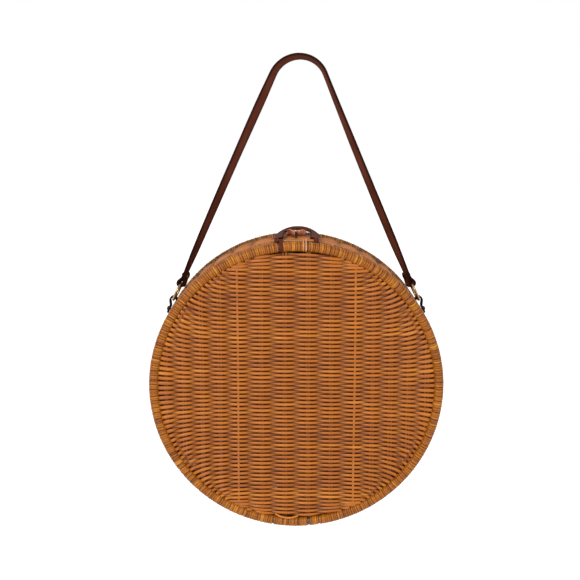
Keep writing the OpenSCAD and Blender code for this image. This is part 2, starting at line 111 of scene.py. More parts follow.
class Strands:
    """Collects swept strands into one mesh, with a map along each strand.

    The mesh also holds each strand's tint, how much painted shade each point gets, and how near a
    strip's edge.
    """

    def __init__(self):
        self.points, self.quads, self.maps = [], [], []
        self.tints, self.deeps, self.edges = [], [], []
        self.count = 0

    def sweep(self, path, side, section, tint=0.5, deep=0.0, closed=False, edge=0.0, shift=0.0):
        """Carries a section along a path, with its first axis to the side.

        The section is one outline, or one for each point, and shift moves the map along the strand.
        """
        n, m = len(path), section.shape[-2]
        ahead = np.roll(path, -1, 0) - np.roll(path, 1, 0) if closed else np.gradient(path, axis=0)
        ahead = unit(ahead)
        side = unit(side - ahead * np.sum(side * ahead, 1, keepdims=True))
        up = np.cross(ahead, side)
        shape = np.broadcast_to(section, (n, m, 2))
        points = path[:, None] + side[:, None] * shape[..., :1] + up[:, None] * shape[..., 1:]
        self.points.append(points.reshape(-1, 3))
        step = np.linalg.norm(np.diff(path, axis=0, append=path[:1]), axis=1)
        along = np.concatenate([[0], np.cumsum(step)]) + shift
        around = np.linalg.norm(np.diff(shape[n // 2], axis=0, append=shape[n // 2][:1]), axis=1)
        around = np.concatenate([[0], np.cumsum(around)])
        i, j = np.meshgrid(np.arange(n if closed else n - 1), np.arange(m), indexing="ij")
        i, j = i.ravel(), j.ravel()
        ni, nj = (i + 1) % n, (j + 1) % m
        quads = np.stack([i * m + j, i * m + nj, ni * m + nj, ni * m + j], 1)
        maps = np.stack([along[i], around[j], along[i], around[j + 1],
                         along[i + 1], around[j + 1], along[i + 1], around[j]], 1)
        if not closed:
            k = np.arange(m // 2 - 1)
            cap = np.stack([k, k + 1, m - 2 - k, m - 1 - k], 1)
            caps = np.concatenate([cap[:, ::-1], cap + (n - 1) * m])
            quads = np.concatenate([quads, caps])
            maps = np.concatenate([maps, np.full((len(caps), 8), along[0])])
        self.quads.append(quads + self.count)
        self.maps.append(maps.reshape(-1, 2))
        self.tints.append(np.full(n * m, tint))
        # Painted shade for each point, which darkens the cane towards its dark colour
        self.deeps.append(np.broadcast_to(np.reshape(deep, (-1, 1)), (n, m)).ravel())
        self.edges.append(np.broadcast_to(edge, (n, m)).ravel())
        self.count += n * m

    def piece(self, name, body, material, slot, *nodes):
        """Makes the piece, which rides on a body and stands for the nodes."""
        mesh = bpy.data.meshes.new(name)
        points = np.concatenate(self.points).astype(np.float32)
        quads = np.concatenate(self.quads).astype(np.int32)
        mesh.vertices.add(len(points))
        mesh.vertices.foreach_set("co", points.ravel())
        mesh.loops.add(quads.size)
        mesh.loops.foreach_set("vertex_index", quads.ravel())
        mesh.polygons.add(len(quads))
        mesh.polygons.foreach_set("loop_start", np.arange(0, quads.size, 4, dtype=np.int32))
        mesh.polygons.foreach_set("use_smooth", np.full(len(quads), True))
        layer = mesh.uv_layers.new(name="strand")
        layer.data.foreach_set("uv", np.concatenate(self.maps).astype(np.float32).ravel())
        for label, values in (("tint", self.tints), ("deep", self.deeps), ("edge", self.edges)):
            data = mesh.attributes.new(label, "FLOAT", "POINT").data
            data.foreach_set("value", np.concatenate(values).astype(np.float32))
        mesh.update(calc_edges=True)
        mesh.validate()
        mesh.materials.append(material)
        piece = bpy.data.objects.new(name, mesh)
        bpy.context.scene.collection.objects.link(piece)
        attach(piece, body)
        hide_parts(*nodes)


def unit(v):
    return v / np.maximum(np.linalg.norm(v, axis=-1, keepdims=True), 1e-12)


def anywhere(rng):
    """A random start on the map, so that no two strands have the same streaks."""
    return rng.uniform(0, 40)


def smooth(values, passes):
    values = np.array(values, float)
    for _ in range(passes):
        values[1:-1] = (values[:-2] + 2 * values[1:-1] + values[2:]) / 4
    return values


def spaced(points, step):
    """The same path with evenly spaced points."""
    points = np.asarray(points, float)
    along = np.concatenate([[0], np.cumsum(np.linalg.norm(np.diff(points, axis=0), axis=1))])
    at = np.linspace(0, along[-1], max(int(along[-1] / step), 4))
    return np.stack([np.interp(at, along, points[:, k]) for k in range(points.shape[1])], 1)


def round_section(width, height, sides=8):
    """An oval outline, or one for each height, with a corner at its top and one below."""
    turn = np.arange(sides) * TAU / sides + math.pi / 2
    height = np.asarray(height, float)[..., None]
    return np.stack(np.broadcast_arrays(np.cos(turn) * width / 2, np.sin(turn) * height / 2), -1)


# A leather strip: how round its edges are, of its thickness, where the line along each edge is
# pressed and how wide it is, how much the face swells in its middle, and where the edge's colour
# starts and how fast it fills, of the half width
EDGE_ROUND = 0.42
CREASE_IN, CREASE_HALF = 1.5 * MM, 0.35 * MM
FACE_SWELL = 1.03
EDGE_FROM, EDGE_OVER = 0.62, 0.33


def strip_section(width, thick, crease=0.0):
    """A strip's outline, thickness first, anticlockwise, with the lines pressed in by crease."""
    half_w, half_t = width / 2, thick / 2
    round_r = EDGE_ROUND * thick
    edge = [(half_t - round_r * (1 - math.cos(a)), half_w - round_r * (1 - math.sin(a)))
            for a in np.radians([75, 40, 5])]
    line = half_w - CREASE_IN
    face = [(half_t, line + CREASE_HALF), (half_t - crease, line), (half_t, line - CREASE_HALF),
            (FACE_SWELL * half_t, 0.4 * line)]
    upper = edge + face
    right = [(x, -y) for x, y in upper] + upper[::-1]
    return np.array(right + [(-x, -y) for x, y in right])


def edge_share(section, width):
    """From 0 over a strip's face to 1 along its edges."""
    return np.clip((np.abs(section[..., 1]) / (width / 2) - EDGE_FROM) / EDGE_OVER, 0, 1)


def strip_sweep(strands, path, side, widths, thick, crease, offsets=0.0, thin=1.0):
    """Sweeps a strip whose width, sideways place and thickness may change along the path."""
    section = np.array([strip_section(width, thick, crease) for width in widths])
    section[..., 0] *= np.reshape(thin, (-1, 1))
    edge = edge_share(section, widths[:, None])
    section[..., 1] += np.reshape(offsets, (-1, 1))
    strands.sweep(path, side, section, edge=edge)


def rounded_end(distance, over, power, least):
    """The share of a strip's width that is left this far from its rounded end."""
    return np.sqrt(np.clip(1 - np.clip(1 - distance / over, 0, 1) ** power, least, 1))


# Materials

def srgb(colour):
    """A colour as it shows on screen, 0 to 255, in the linear numbers that a shader takes."""
    return [((c / 255 + 0.055) / 1.055) ** 2.4 if c > 10 else c / 255 / 12.92 for c in colour] + [1.0]


class Paint:
    """A material's nodes, with short names for the ones used here."""

    def __init__(self, name):
        self.material = bpy.data.materials.new(name)
        self.material.use_nodes = True
        self.nodes = self.material.node_tree.nodes
        self.links = self.material.node_tree.links
        self.shader = self.nodes["Principled BSDF"]

    def node(self, kind, inputs=(), **settings):
        made = self.nodes.new(kind)
        for key, value in settings.items():
            setattr(made, key, value)
        for key, value in dict(inputs).items():
            self.put(made.inputs[key], value)
        return made

    def put(self, socket, value):
        if isinstance(value, bpy.types.NodeSocket):
            self.links.new(value, socket)
        else:
            socket.default_value = value

    def attribute(self, name):
        return self.node("ShaderNodeAttribute", attribute_name=name).outputs["Fac"]

    def place(self):
        return self.node("ShaderNodeTexCoord").outputs["Object"]

    def mapping(self, where, scale):
        return self.node("ShaderNodeMapping", {"Vector": where, "Scale": scale}).outputs[0]

    def stretched(self, along, around):
        """The map along a strand, with so many cells per metre each way."""
        where = self.node("ShaderNodeUVMap", uv_map="strand").outputs[0]
        return self.mapping(where, (along, around, 1))

    def noise(self, where, scale=1.0, detail=2.0):
        made = self.node("ShaderNodeTexNoise", {"Scale": scale, "Detail": detail, "Vector": where})
        return made.outputs["Fac"]

    def ramp(self, value, *stops):
        """Colours by a value, from stops of (place, colour)."""
        made = self.node("ShaderNodeValToRGB", {"Fac": value})
        while len(made.color_ramp.elements) < len(stops):
            made.color_ramp.elements.new(0.5)
        for element, (place, colour) in zip(made.color_ramp.elements, stops):
            element.position = place
            element.color = colour
        return made.outputs["Color"]

    def mix(self, share, a, b, how="MIX"):
        made = self.node("ShaderNodeMix", data_type="RGBA", blend_type=how)
        # The node's sockets for the share and for two colours come by number, as their names repeat
        for socket, value in zip((0, 6, 7), (share, a, b)):
            self.put(made.inputs[socket], value)
        return made.outputs[2]

    def maths(self, how, a, b):
        made = self.node("ShaderNodeMath", operation=how)
        self.put(made.inputs[0], a)
        self.put(made.inputs[1], b)
        return made.outputs[0]

    def scaled(self, value, between, onto):
        """Carries the first range onto the second, and holds the value at its ends."""
        made = self.node("ShaderNodeMapRange", {"Value": value,
                                                "From Min": between[0], "From Max": between[1],
                                                "To Min": onto[0], "To Max": onto[1]})
        return made.outputs[0]

    def bump(self, height, distance, strength):
        inputs = {"Height": height, "Distance": distance, "Strength": strength}
        return self.node("ShaderNodeBump", inputs).outputs[0]

    def finish(self, colour, roughness, normal=None, **constants):
        self.put(self.shader.inputs["Base Color"], colour)
        self.put(self.shader.inputs["Roughness"], roughness)
        if normal is not None:
            self.put(self.shader.inputs["Normal"], normal)
        for key, value in constants.items():
            self.shader.inputs[key.replace("_", " ")].default_value = value
        return self.material


TONE_PLACES = (0.05, 0.38, 0.68, 0.97)


def cane_material(name, tones, spot_and_shade, proud_highlight=None):
    """Varnished cane, from dark to pale by each strand's tint, with streaks and spots.

    Painted shade darkens it to the spot colour where a strand dives under, and a painted highlight
    marks it where it stands proud.
    """
    spot_and_shade = srgb(spot_and_shade)
    paint = Paint(name)
    tint = paint.attribute("tint")
    drift = paint.noise(paint.stretched(22, 60))
    tone = paint.maths("ADD", tint, paint.scaled(drift, (0.3, 0.7), (-0.3, 0.3)))
    colour = paint.ramp(tone, *zip(TONE_PLACES, map(srgb, tones)))
    streak = paint.noise(paint.stretched(35, 2600), detail=3)
    shade = paint.ramp(streak, (0.32, srgb((196, 176, 160))), (0.6, srgb((255, 255, 255))))
    colour = paint.mix(0.75, colour, shade, "MULTIPLY")
    spot = paint.noise(paint.stretched(130, 420), detail=1)
    colour = paint.mix(paint.scaled(spot, (0.7, 0.8), (0, 0.55)), colour, spot_and_shade)
    deep = paint.attribute("deep")
    # A painted highlight on the parts of a strand that stand proud
    if proud_highlight:
        colour = paint.mix(paint.scaled(deep, (0, 0.22), (0.35, 0)), colour, srgb(proud_highlight))
    # Painted shade towards the dark colour where a strand dives under
    colour = paint.mix(deep, colour, spot_and_shade)
    rough = paint.scaled(streak, (0.3, 0.7), (0.5, 0.34))
    normal = paint.bump(streak, 0.12 * MM, 0.6)
    return paint.finish(colour, rough, normal, Coat_Weight=0.08, Coat_Roughness=0.2,
                        Specular_IOR_Level=0.25)


def leather_material(name, face, edge, rub):
    """Dark bridle leather: fine grain, cloudy dye, burnished edges and a face worn paler by rubbing.
    """
    face, edge, rub = map(srgb, (face, edge, rub))
    paint = Paint(name)
    where = paint.place()
    cloud = paint.noise(where, 26, 4)
    colour = paint.mix(paint.scaled(cloud, (0.35, 0.68), (0, 0.9)), face, rub)
    fibre = paint.noise(paint.stretched(60, 700), detail=3)
    colour = paint.mix(paint.scaled(fibre, (0.35, 0.65), (0, 0.35)), colour, rub)
    colour = paint.mix(paint.attribute("edge"), colour, edge)
    cells = paint.node("ShaderNodeTexVoronoi", {"Vector": where, "Scale": 1400}).outputs["Distance"]
    grain = paint.maths("ADD", cells, paint.noise(where, 2200))
    normal = paint.bump(grain, 0.06 * MM, 0.5)
    rough = paint.scaled(cloud, (0.3, 0.7), (0.55, 0.7))
    return paint.finish(colour, rough, normal, Specular_IOR_Level=0.03)


def plain_cane(name, dark, light):
    """Peeled rod or waxed lace, with its grain from side to side."""
    dark, light = srgb(dark), srgb(light)
    paint = Paint(name)
    where = paint.place()
    streak = paint.noise(paint.mapping(where, (60, 900, 900)), detail=4)
    cloud = paint.noise(where, 60)
    colour = paint.mix(paint.scaled(streak, (0.35, 0.65), (0, 1)), dark, light)
    colour = paint.mix(paint.scaled(cloud, (0.45, 0.7), (0, 0.4)), colour, dark)
    rough = paint.scaled(streak, (0.3, 0.7), (0.5, 0.36))
    return paint.finish(colour, rough, paint.bump(streak, 0.08 * MM, 0.5))


def brass_material(name, bright, worn):
    """Brass with fine scratches and dull patches."""
    paint = Paint(name)
    where = paint.place()
    dull = paint.noise(where, 220, 4)
    scratch = paint.noise(where, 1900)
    colour = paint.mix(paint.scaled(dull, (0.4, 0.7), (0, 0.6)), srgb(bright), srgb(worn))
    rough = paint.scaled(dull, (0.35, 0.7), (0.2, 0.42))
    return paint.finish(colour, rough, paint.bump(scratch, 0.03 * MM, 0.4), Metallic=1.0)


# The dark red-brown of the cane's spots, which is also the painted shade in the weave's recesses
SPOT_AND_SHADE = (72, 20, 2)
# The weave's cane also takes a painted highlight where it stands proud
cane = cane_material("cane", [(110, 52, 0), (144, 80, 0), (168, 98, 2), (196, 126, 38)], SPOT_AND_SHADE,
                     proud_highlight=(180, 101, 38))
wound = cane_material("wound_cane", [(110, 56, 0), (144, 80, 2), (160, 94, 6), (186, 122, 30)], SPOT_AND_SHADE)
# The back winding's cane is a darker, olive copy of the wound cane: painted shade on the back hoop
back_shaded = cane_material("back_shaded_cane", [(76, 44, 6), (108, 66, 14), (134, 84, 22), (160, 104, 40)],
                     (40, 18, 6))
pale = cane_material("pale_cane", [(150, 84, 30), (178, 108, 48), (196, 128, 68), (210, 148, 92)],
                     (72, 22, 4))
reddish = cane_material("reddish_cane", [(122, 56, 30), (156, 84, 50), (186, 112, 76),
                                         (214, 156, 124)], (70, 24, 10))
leather = leather_material("leather", (68, 30, 18), (30, 9, 6), (92, 46, 32))
brass = brass_material("brass", (170, 144, 104), (104, 78, 50))
# The rivets' brass is dark antique brass, and darker still as painted shade on the rivet heads
dark_brass = brass_material("dark_brass", (70, 46, 28), (34, 20, 12))
# The rod is dark: painted shade in the gaps between the turns and lashings where it shows
rod = plain_cane("rod", (58, 24, 8), (84, 40, 16))
waxed = plain_cane("waxed_lace", (128, 74, 24), (176, 116, 54))
cord = leather_material("cord", (60, 30, 20), (38, 14, 10), (84, 46, 32))


# Woven panels

def pair_place(k):
    """Distance of stake pair k from the panel's middle, on one side."""
    if k < NEAR_PAIRS:
        return (k + 0.5) * NEAR_PITCH
    return (NEAR_PAIRS - 0.5) * NEAR_PITCH + (k - NEAR_PAIRS + 1) * SIDE_PITCH


RIGHT_PAIRS = [pair_place(k) for k in range(NEAR_PAIRS + FAR_PAIRS)]
PAIRS = np.array([-place for place in RIGHT_PAIRS[::-1]] + RIGHT_PAIRS)
PAIR_NUMBERS = np.arange(len(PAIRS), dtype=float)

# A weaver, of its thickness: how wide it is from front to back, how tall between the stake pairs,
# and how much taller in front of a pair and behind one
WEAVER_WIDE, TALL_BETWEEN, TALLER_FRONT, TALLER_BEHIND = 1.04, 1.12, 0.32, 0.77
WEAVER_SIDES = 10
WAVE_FLATNESS = 0.9
DIVE_LEVEL, DIVE_SLOPE = 0.45, 0.75

# Rows within this share of the hoop's radius end at its sides, spread over the first angle from
# level. The ones above and below arch along the hoop and end within the second.
SIDE_SHARE = 0.925
SIDE_TURN, ARCH_TURN = math.radians(64.5), math.radians(9)
LEAST_BEND, MOST_BEND = 2.0, 7.0
EDGE_RUN = 9 * MM

# How far rows and stakes run into the hoop's winding, how far they wander from their lines and in
# what waves, in radians a metre, how much taller rows get where they fan out, and their step
ROWS_IN, STAKES_IN = 0.8 * MM, 0.6 * MM
ROW_WANDER, ROW_WAVES = 0.12 * MM, 37
STAKE_WANDER, STAKE_WAVES = 0.3 * MM, 21
FAN_OUT = 0.25
ROW_STEP = 3.6 * MM

# The tint changes with each length of cane, which makes three rows, or fewer this often
CANE_ROWS, EARLY_END, TINT_SPREAD = 3, 0.2, 0.7

# How dark the painted shade in the recesses is where light reaches them
LIT_SHADE = 0.7

# The stakes of one place: their sides of it, how far they stand out of the panel's middle plane,
# the range of their tints, and how much painted shade they get
STAKE_TINTS = (0.1, 0.6)
STAKE_PAIR = ([-1, 1], 0.25 * MM, STAKE_TINTS, LIT_SHADE)
SINGLE_STAKE = ([0], 0.9 * MM, (0.45, 0.9), 0.0)


def waving(number):
    """From 1 in front of a stake pair to -1 behind the next, flat over each pair."""
    return np.tanh(WAVE_FLATNESS * np.cos(math.pi * number)) / math.tanh(WAVE_FLATNESS)


def diving(wave):
    """How much painted shade a weaver gets: 0 where it stands proud, 1 where it lies behind the
    stakes.
    """
    return np.clip(DIVE_LEVEL - DIVE_SLOPE * wave, 0, 1)


def weaver_section(wave, spread=1.0):
    """Rows meet between the pairs, and behind a pair they close the gaps between those in front."""
    tall = TALL_BETWEEN + np.where(wave > 0, TALLER_FRONT, -TALLER_BEHIND) * wave
    return round_section(WEAVER_D * WEAVER_WIDE, WEAVER_D * tall * spread, WEAVER_SIDES)


def row_end(height, reach):
    """Half width and height of a row's end on a hoop of radius reach, for its height in the middle."""
    side_rows = reach * SIDE_SHARE
    if abs(height) < side_rows:
        turn = SIDE_TURN * abs(height) / side_rows
    else:
        turn = SIDE_TURN + (abs(height) - side_rows) / (reach - side_rows) * ARCH_TURN
    return reach * math.cos(turn), math.copysign(reach * math.sin(turn), height)


def beside_hoop(t, half):
    """From 0 over most of a row to 1 at the hoop."""
    near = np.clip(1 - (1 - np.abs(t)) * half / EDGE_RUN, 0, 1)
    return near ** 2 * (3 - 2 * near)


# The slipped weaver: its middle and half its run, how far it stands out and its ends lie behind,
# where it starts inside the hoop, and how many millimetres it hangs over it
STRAY_X, STRAY_HALF = -11.5 * MM, 15 * MM
STRAY_OUT, STRAY_TUCK = 5.4 * MM, 0.8 * MM
STRAY_IN, STRAY_HANG = 1.4 * MM, 2.1


def stray_weaver(strands, y, front, rng):
    """A stretch of a weaver that slipped over the hoop at the bottom, with its ends tucked behind."""
    t = np.linspace(-1, 1, 24)
    x = STRAY_X + STRAY_HALF * t
    over = (1 - t * t) ** 0.8
    inner = np.sqrt((ring_line - hoop_r - STRAY_IN) ** 2 - x ** 2)
    path = np.stack([x, y - front * (STRAY_OUT * over - STRAY_TUCK),
                     bag_z - inner - (STRAY_HANG * over - 1) * MM], 1)
    strands.sweep(path, np.tile(Y, (len(x), 1)), round_section(WEAVER_D, WEAVER_D, WEAVER_SIDES), 0.85,
                  shift=anywhere(rng))


def woven_panel(name, body, y, front, node, seed):
    """Rows of round cane over and under the stake pairs, fanned out to meet the hoop at the sides."""
    rng = random.Random(seed)
    reach = ring_line - hoop_r + ROWS_IN
    strands = Strands()
    rows = int((reach - WEAVER_D) / ROW_PITCH)
    tint = 0.5
    for row in range(-rows, rows + 1):
        if row % CANE_ROWS == 0 or rng.random() < EARLY_END:
            tint = 0.5 + TINT_SPREAD * (rng.betavariate(4.5, 4.5) - 0.5)
        height = row * ROW_PITCH
        half, end = row_end(height, reach)
        rise = end - height
        bend = min(max(abs(end / rise), LEAST_BEND), MOST_BEND) if rise * height > 0 else LEAST_BEND
        t = np.linspace(-1, 1, max(int(2 * half / ROW_STEP), 12))
        outward = np.abs(t) ** bend
        x = t * half
        near = beside_hoop(t, half)
        wave = waving(np.interp(x, PAIRS, PAIR_NUMBERS) + row)
        wave = wave + near * ((-1) ** row * -np.sign(t) - wave)
        wander = ROW_WANDER * np.sin(x * ROW_WAVES + rng.uniform(0, TAU)) * (1 - t * t)
        z = height + rise * outward
        path = np.stack([x, y - front * wave * WEAVE_RISE, bag_z + z + wander], 1)
        section = weaver_section(wave, spread=1 + FAN_OUT * outward * half / reach)
        # Painted shade where the row dives behind a pair, full beside the hoop
        deep = diving(wave) * (LIT_SHADE + (1 - LIT_SHADE) * near)
        strands.sweep(path, np.tile(Y, (len(x), 1)), section, tint + rng.uniform(-0.08, 0.08), deep,
                      shift=anywhere(rng))
    if front > 0:
        stray_weaver(strands, y, front, rng)
    strands.piece(name, body, cane, "cane", node)


def panel_stakes(name, body, y, front, node, seed):
    """Pairs of stakes, and one proud single stake in the third place from the middle on each side."""
    rng = random.Random(seed)
    reach = ring_line - hoop_r + STAKES_IN
    strands = Strands()
    for x in PAIRS:
        single = abs(abs(x) - pair_place(NEAR_PAIRS - 1)) < MM
        sides, proud, tints, deep = SINGLE_STAKE if single else STAKE_PAIR
        for side in sides:
            place = x + side * PAIR_GAP / 2
            half = math.sqrt(reach ** 2 - place ** 2)
            z = np.linspace(-half, half, 60)
            bow = STAKE_WANDER * np.sin(z * STAKE_WAVES + rng.uniform(0, TAU))
            path = np.stack([place + bow, np.full_like(z, y - front * proud), bag_z + z], 1)
            # Stake pairs take painted shade, the proud single stake none
            strands.sweep(path, np.tile(X, (len(z), 1)), round_section(STAKE_D, STAKE_D),
                          rng.uniform(*tints), deep, shift=anywhere(rng))
    strands.piece(name, body, pale, "pale_cane", node)


# Side wall

STEPS_A_STAKE = 10


def woven_wall(node, seed):
    """Closed rows round the bag, over and under the wall's stakes by turns."""
    rng = random.Random(seed)
    strands = Strands()
    first = low(node)[1] + WEAVER_D / 2
    last = high(node)[1] - WEAVER_D / 2
    steps = WALL_STAKES * STEPS_A_STAKE
    turn = np.arange(steps) * TAU / steps
    out = around_hoop(turn)
    for row in range(WALL_ROWS):
        y = first + (last - first) * row / (WALL_ROWS - 1)
        wave = waving(turn / TAU * WALL_STAKES + row + 0.5)
        radius = ring_line + wave * WEAVE_RISE
        path = CENTRE + out * radius[:, None] + Y * y
        # Painted shade where a row dives behind a stake
        strands.sweep(path, out, weaver_section(wave), rng.betavariate(1.3, 1.3),
                      diving(wave) * LIT_SHADE, closed=True, shift=anywhere(rng))
    strands.piece("wall_weavers", "bag", cane, "cane", node)


def wall_stakes(node, seed):
    rng = random.Random(seed)
    strands = Strands()
    y = np.linspace(low(node)[1], high(node)[1], 20)
    for i in range(WALL_STAKES):
        out = around_hoop(np.full(len(y), (i + 0.5) * TAU / WALL_STAKES))
        path = CENTRE + out * ring_line + np.outer(y, Y)
        # The stakes take the painted shade of the recesses
        strands.sweep(path, out, round_section(STAKE_D, STAKE_D), rng.uniform(*STAKE_TINTS), LIT_SHADE,
                      shift=anywhere(rng))
    strands.piece("wall_stake_canes", "bag", pale, "pale_cane", node)


# Wound hoops

# The turns' pitch in millimetres at the top and bottom, what it gains at the sides, and its play
WIND_PITCH, WIND_SIDES, WIND_PLAY = 2.5, 0.45, 0.18
# How a turn leans along the hoop, and how deep it lies in the winding, of its thickness
LEAN, LEAN_PLAY, LEAN_REACH = 0.1, 0.06, 3
TURN_DEPTH = 0.42
TURN_POINTS, TURN_SIDES = 14, 6


def wound_hoop(name, body, y, bare, material, node, seed):
    """Half-round cane wound round a hoop, and left out where the hoop is bare for a lashing or tie."""
    rng = random.Random(seed)
    strands = Strands()
    thick = hoop_r - rod_r
    turn = 0.0
    while turn < TAU:
        pitch = WIND_PITCH + WIND_SIDES * abs(math.sin(turn)) + rng.uniform(-WIND_PLAY, WIND_PLAY)
        pitch *= MM
        wide = pitch / ring_line
        middle = turn + wide / 2
        turn += wide
        if any(abs((middle - at + math.pi) % TAU - math.pi) < half for at, half in bare):
            continue
        lean = rng.uniform(-LEAN_PLAY, LEAN_PLAY) + LEAN
        about = np.arange(TURN_POINTS) * TAU / TURN_POINTS + rng.uniform(0, 1)
        at = middle + lean * wide * np.sin(about) * LEAN_REACH + rng.uniform(-0.1, 0.1) * wide
        out = around_hoop(at)
        away = out * np.cos(about)[:, None] + Y * np.sin(about)[:, None]
        radius = rod_r + thick * (TURN_DEPTH + rng.uniform(-0.04, 0.1))
        path = CENTRE + Y * y + out * ring_line + away * radius
        section = round_section(thick * rng.uniform(0.98, 1.12), pitch * 1.02, TURN_SIDES)
        strands.sweep(path, away, section, rng.betavariate(5, 5), closed=True, shift=anywhere(rng))
    strands.piece(name, body, material, "wrap_cane", node)


def hoop_turn(x, top):
    """The angle from the bottom of a place on a hoop x to the right of the middle."""
    angle = math.asin(x / ring_line)
    return math.pi - angle if top else angle


HINGE_X, HINGE_HALF = centre_of("hinge_lashing_right")[0], half_of("hinge_lashing_right")[0]
HINGE_TURNS, HINGE_MARGIN = 4, 1.4 * MM
TIE_LEFT_X, TIE_RIGHT_X = centre_of("lace_tie_left")[0], centre_of("lace_tie_right")[0]
TIE_HALF = 2.8 * MM

# Where the hoops are bare: the angle from the bottom and half the run
hinge_bare = [(hoop_turn(side * HINGE_X, top=False), (HINGE_HALF + HINGE_MARGIN) / ring_line)
              for side in (-1, 1)]
tie_bare = [(hoop_turn(x, top=True), TIE_HALF / ring_line) for x in (TIE_LEFT_X, TIE_RIGHT_X)]


# Strap, with both ends folded round the rings

STRAP_W, STRAP_END_W, STRAP_T = 12.5 * MM, 11 * MM, 2.8 * MM
STRAP_CREASE, STRAP_STEP = 0.18 * MM, 1.1 * MM
RING_R, RING_TILT = 11.5 * MM, math.radians(26)
CHANNEL_R = 2.45 * MM
FOLD_BACK, FOLD_KNEE = 17 * MM, 7.6 * MM
CROWN_R, CROWN_LEAN, CROWN_TWIST = 34 * MM, 4 * MM, math.radians(30)
LEFT_TURN, RIGHT_TURN = 20 / 30, 27 / 30

# How far the layers of a fold lie apart, of their thickness, and how far the twist runs into the fold
LAYER_APART = 1.04
TWIST_END = 1 * MM

# The twist from the left end of the strap to the right one, of the crown's
TWIST_SHARES = np.array([[0, LEFT_TURN], [0.04, 1.1], [0.1, 1.28], [0.17, 1.48], [0.26, 1.5],
                         [0.33, 1.74], [0.38, 1.78], [0.42, 1.42], [0.5, 1], [0.57, 0.62],
                         [0.61, 0.77], [0.66, 0.92], [0.71, 1.13], [0.77, 1.22], [0.84, 1.42],
                         [0.93, 1.45], [1, RIGHT_TURN]])


def fold_round(radius, first, second, knee):
    """The way of a strip round a wire at the origin.

    Its layers leave upwards for (first, knee) and (second, knee).
    """
    reach = [math.hypot(place, knee) for place in (first, second)]
    start = math.atan2(knee, first) - math.acos(radius / reach[0])
    end = math.atan2(knee, second) + math.acos(radius / reach[1]) - TAU
    turns = np.linspace(start, end, 40)
    return radius * np.stack([np.cos(turns), np.sin(turns)], 1)


def strap():
    """Laid out flat as (outwards, along from the crown), then carried along the bend and the legs."""
    # The bend over the crown, and the leg from its end to the ring's wire, as (x, z)
    fold = ring_place[[0, 2]] + RING_R * np.array([-math.sin(RING_TILT), math.cos(RING_TILT)])
    crown = STRAP_T / 2 / math.cos(CROWN_TWIST)
    centre = np.array([0, crown - CROWN_R])
    away = fold - centre
    bend = math.acos(-CROWN_R / np.linalg.norm(away)) - math.atan2(away[0], -away[1])
    arc = CROWN_R * bend
    out, down = np.array([math.sin(bend), math.cos(bend)]), np.array([math.cos(bend), -math.sin(bend)])
    leg = np.linalg.norm(fold - centre - CROWN_R * out)
    wire = arc + leg
    length = wire - FOLD_BACK + TWIST_END

    # One half laid flat: down the leg, round the wire, and back up on its inner side
    second = -LAYER_APART * STRAP_T
    ring_round = fold_round(CHANNEL_R + STRAP_T / 2, 0, second, FOLD_KNEE)
    route = np.concatenate([[(0, 0), (0, wire - FOLD_KNEE)], ring_round * [1, -1] + [0, wire],
                            [(second, wire - FOLD_KNEE), (second, wire - FOLD_BACK)]])
    route = spaced(route, STRAP_STEP)
    route[1:] = smooth(route[1:], 5)
    off, down_by = route.T

    # The line that it follows, which leans to the right towards the crown
    turn = np.clip(down_by / CROWN_R, 0, bend)
    run = np.maximum(down_by - arc, 0)
    outs = np.stack([np.sin(turn), 0 * turn, np.cos(turn)], 1)
    line = np.array([0, 0, centre[1]]) + CROWN_R * outs + run[:, None] * [down[0], 0, down[1]]
    leg_low = fold[1] - (FOLD_BACK - TWIST_END) * down[1]
    lean = CROWN_LEAN * (np.maximum(line[:, 2] - leg_low, 0) / (crown - leg_low)) ** 2

    # Both halves with their own twist, joined at the crown
    halves = []
    for sign in (-1, 1):
        share = np.clip(0.5 + sign * down_by / length / 2, 0, 1)
        twist = CROWN_TWIST * np.interp(share, TWIST_SHARES[:, 0], TWIST_SHARES[:, 1])
        twist = smooth(np.concatenate([twist[:0:-1], twist]), 60)[len(twist) - 1:][:, None]
        ways = outs * [sign, 1, 1]
        outwards = ways * np.cos(twist) + Y * np.sin(twist)
        path = line * [sign, 1, 1] + np.outer(lean, X) + off[:, None] * outwards
        wide = Y * np.cos(twist) - ways * np.sin(twist)
        halves.append((path, wide, share))
    path, wide, share = [np.concatenate([one[:0:-1], two]) for one, two in zip(*halves)]
    side = np.cross(unit(np.gradient(path, axis=0)), wide)

    # Narrower in the folds, with tips that are rounded and pared thin
    widths = STRAP_W - (STRAP_W - STRAP_END_W) * np.abs(2 * share - 1) ** 12
    along = np.cumsum(np.linalg.norm(np.diff(path, axis=0, prepend=path[:1]), axis=1))
    from_end = np.minimum(along, along[-1] - along)
    widths = widths * rounded_end(from_end, 4 * MM, 2.5, 0.05)
    thin = np.clip(from_end / (5 * MM) + 0.35, 0, 1)
    strands = Strands()
    strip_sweep(strands, path, side, widths, STRAP_T, STRAP_CREASE, thin=thin)
    strands.piece("strap_leather", "strap", leather, "leather", "strap")


# Side tabs, folded over the rings and riveted to the wall

TAB_T, TAB_W, TAB_FOLD_W = 2.2 * MM, 12 * MM, 9 * MM
TAB_CREASE, TAB_STEP = 0.14 * MM, 0.8 * MM
RING_ANGLE, TAB_LOW = math.radians(33.4), math.radians(27.6)
TAB_KNEE, TAB_ROOM = 8.2 * MM, 0.6 * MM


